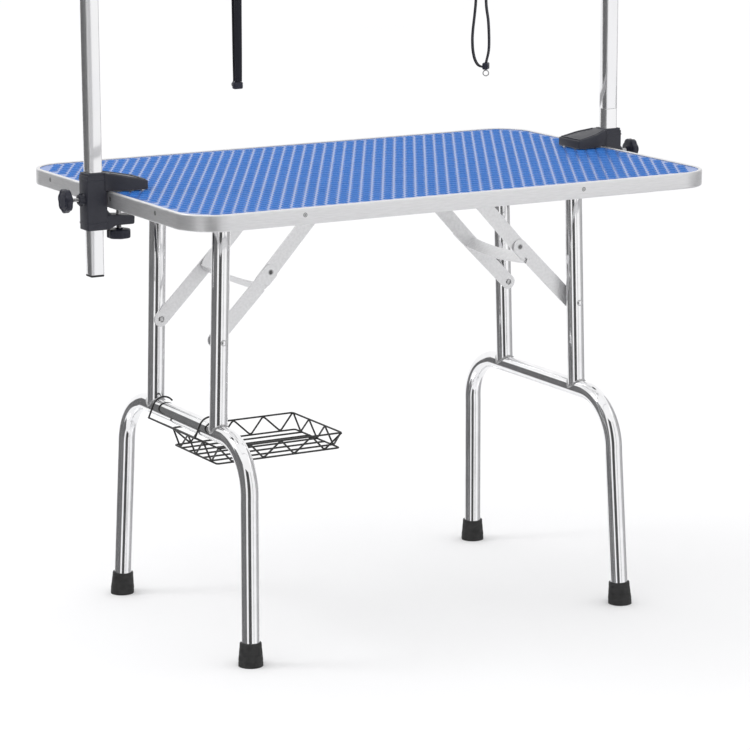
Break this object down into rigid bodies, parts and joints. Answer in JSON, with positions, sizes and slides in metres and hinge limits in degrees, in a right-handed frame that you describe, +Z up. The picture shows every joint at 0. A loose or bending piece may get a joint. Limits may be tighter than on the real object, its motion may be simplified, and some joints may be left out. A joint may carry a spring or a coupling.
{
  "type": "folding grooming table",
  "caption": "Folding pet grooming table with a studded mat, metal rim, braced tube legs, clamp-on overhead arm, nooses and a wire basket.",
  "frame": {"origin": "on the floor, under the middle of the table top", "axes": "+X along the long side of the top, +Y across it away from the front, +Z up"},
  "size_m": [1.049, 0.61, 1.4767],
  "materials": {
    "board": "matt",
    "blue_mat": "satin",
    "rim_aluminium": "satin",
    "leg_chrome": "polished",
    "post_chrome": "polished",
    "zinc_steel": "satin",
    "bright_steel": "satin",
    "foot_rubber": "matt",
    "noose_webbing": "woven",
    "basket_wire": "gloss",
    "black_plastic": "satin"
  },
  "bodies": {
    "root": {"table_board": "board", "rubber_mat": "blue_mat", "edge_rim": "rim_aluminium", "left_hinge_rail": "zinc_steel", "left_front_hinge_pin": "bright_steel", "left_rear_hinge_pin": "bright_steel", "left_front_brace_bracket": "zinc_steel", "left_rear_brace_bracket": "zinc_steel", "right_hinge_rail": "zinc_steel", "right_front_hinge_pin": "bright_steel", "right_rear_hinge_pin": "bright_steel", "right_front_brace_bracket": "zinc_steel", "right_rear_brace_bracket": "zinc_steel"},
    "left_leg_frame": {"left_lower_tube": "leg_chrome", "left_front_upright": "leg_chrome", "left_rear_upright": "leg_chrome", "left_front_foot_cap": "foot_rubber", "left_rear_foot_cap": "foot_rubber", "left_front_brace_bolt": "bright_steel", "left_rear_brace_bolt": "bright_steel"},
    "left_upper_brace": {"left_upper_brace": "zinc_steel"},
    "left_lower_links": {"left_front_lower_link": "zinc_steel", "left_rear_lower_link": "zinc_steel"},
    "right_leg_frame": {"right_lower_tube": "leg_chrome", "right_front_upright": "leg_chrome", "right_rear_upright": "leg_chrome", "right_front_foot_cap": "foot_rubber", "right_rear_foot_cap": "foot_rubber", "right_front_brace_bolt": "bright_steel", "right_rear_brace_bolt": "bright_steel"},
    "right_upper_brace": {"right_upper_brace": "zinc_steel"},
    "right_lower_links": {"right_front_lower_link": "zinc_steel", "right_rear_lower_link": "zinc_steel"},
    "basket": {"wire_basket": "basket_wire"},
    "clamps": {"left_clamp": "black_plastic", "right_clamp": "black_plastic"},
    "overhead_arm": {"overhead_bar": "post_chrome", "left_post_lower": "post_chrome", "right_post_lower": "post_chrome", "left_post_upper": "post_chrome", "right_post_upper": "post_chrome", "left_post_cap": "black_plastic", "right_post_cap": "black_plastic", "left_bar_corner": "black_plastic", "right_bar_corner": "black_plastic", "left_noose_strap": "noose_webbing", "right_noose_strap": "noose_webbing", "left_noose_slider": "black_plastic", "right_noose_slider": "black_plastic", "left_noose_ring": "bright_steel", "right_noose_ring": "bright_steel"},
    "left_jaw_pad": {"left_jaw_pad": "bright_steel"},
    "left_jaw_screw": {"left_jaw_screw": "black_plastic"},
    "left_lock_pad": {"left_lock_pad": "bright_steel"},
    "left_lock_screw": {"left_lock_screw": "black_plastic"},
    "right_jaw_pad": {"right_jaw_pad": "bright_steel"},
    "right_jaw_screw": {"right_jaw_screw": "black_plastic"},
    "right_lock_pad": {"right_lock_pad": "bright_steel"},
    "right_lock_screw": {"right_lock_screw": "black_plastic"}
  },
  "joints": [
    {"name": "left_leg_fold", "type": "hinge", "parent": "root", "child": "left_leg_frame", "pos_m": [-0.315, 0, 0.662], "axis": [0, -1, 0], "range_deg": [0, 75]},
    {"name": "left_upper_brace_turn", "type": "hinge", "parent": "root", "child": "left_upper_brace", "pos_m": [-0.14, 0, 0.664], "axis": [0, 1, 0], "range_deg": [0, 44.56]},
    {"name": "left_lower_link_turn", "type": "hinge", "parent": "left_leg_frame", "child": "left_lower_links", "pos_m": [-0.32058, 0, 0.47708], "axis": [0, -1, 0], "range_deg": [0, 39.83]},
    {"name": "right_leg_fold", "type": "hinge", "parent": "root", "child": "right_leg_frame", "pos_m": [0.315, 0, 0.662], "axis": [0, 1, 0], "range_deg": [0, 86]},
    {"name": "right_upper_brace_turn", "type": "hinge", "parent": "root", "child": "right_upper_brace", "pos_m": [0.14, 0, 0.664], "axis": [0, -1, 0], "range_deg": [0, 48.48]},
    {"name": "right_lower_link_turn", "type": "hinge", "parent": "right_leg_frame", "child": "right_lower_links", "pos_m": [0.32058, 0, 0.47708], "axis": [0, 1, 0], "range_deg": [0, 40.37]},
    {"name": "basket_level", "type": "hinge", "parent": "left_leg_frame", "child": "basket", "pos_m": [-0.32487, 0, 0.33515], "axis": [0, 1, 0], "range_deg": [0, 76]},
    {"name": "arm_position", "type": "slide", "parent": "root", "child": "clamps", "axis": [0, 1, 0], "range_m": [-0.15, 0.15]},
    {"name": "arm_height", "type": "slide", "parent": "clamps", "child": "overhead_arm", "axis": [0, 0, 1], "range_m": [-0.11, 0.05]},
    {"name": "left_jaw_pad_slide", "type": "slide", "parent": "clamps", "child": "left_jaw_pad", "axis": [0, 0, -1], "range_m": [0, 0.0061]},
    {"name": "left_jaw_screw_turn", "type": "hinge", "parent": "left_jaw_pad", "child": "left_jaw_screw", "pos_m": [-0.4325, 0.002, 0.64], "axis": [0, 0, 1], "range_deg": [0, 1440]},
    {"name": "left_lock_pad_slide", "type": "slide", "parent": "clamps", "child": "left_lock_pad", "axis": [-1, 0, 0], "range_m": [0, 0.0031]},
    {"name": "left_lock_screw_turn", "type": "hinge", "parent": "left_lock_pad", "child": "left_lock_screw", "pos_m": [-0.52, 0.002, 0.693], "axis": [-1, 0, 0], "range_deg": [0, 720]},
    {"name": "right_jaw_pad_slide", "type": "slide", "parent": "clamps", "child": "right_jaw_pad", "axis": [0, 0, -1], "range_m": [0, 0.0061]},
    {"name": "right_jaw_screw_turn", "type": "hinge", "parent": "right_jaw_pad", "child": "right_jaw_screw", "pos_m": [0.4325, 0.03, 0.64], "axis": [0, 0, 1], "range_deg": [0, 1440]},
    {"name": "right_lock_pad_slide", "type": "slide", "parent": "clamps", "child": "right_lock_pad", "axis": [1, 0, 0], "range_m": [0, 0.0031]},
    {"name": "right_lock_screw_turn", "type": "hinge", "parent": "right_lock_pad", "child": "right_lock_screw", "pos_m": [0.52, 0.03, 0.693], "axis": [1, 0, 0], "range_deg": [0, 720]}
  ],
  "couplings": [
    {"joint": "left_upper_brace_turn", "follows": "left_leg_fold", "ratio": 0.5874},
    {"joint": "left_lower_link_turn", "follows": "left_leg_fold", "ratio": 0.5243},
    {"joint": "right_upper_brace_turn", "follows": "right_leg_fold", "ratio": 0.5578},
    {"joint": "right_lower_link_turn", "follows": "right_leg_fold", "ratio": 0.4635},
    {"joint": "basket_level", "follows": "left_leg_fold", "ratio": 1},
    {"joint": "left_jaw_pad_slide", "follows": "left_jaw_screw_turn", "m_per_rad": 0.00023873},
    {"joint": "left_lock_pad_slide", "follows": "left_lock_screw_turn", "m_per_rad": 0.00023873},
    {"joint": "right_jaw_pad_slide", "follows": "right_jaw_screw_turn", "m_per_rad": 0.00023873},
    {"joint": "right_lock_pad_slide", "follows": "right_lock_screw_turn", "m_per_rad": 0.00023873}
  ]
}
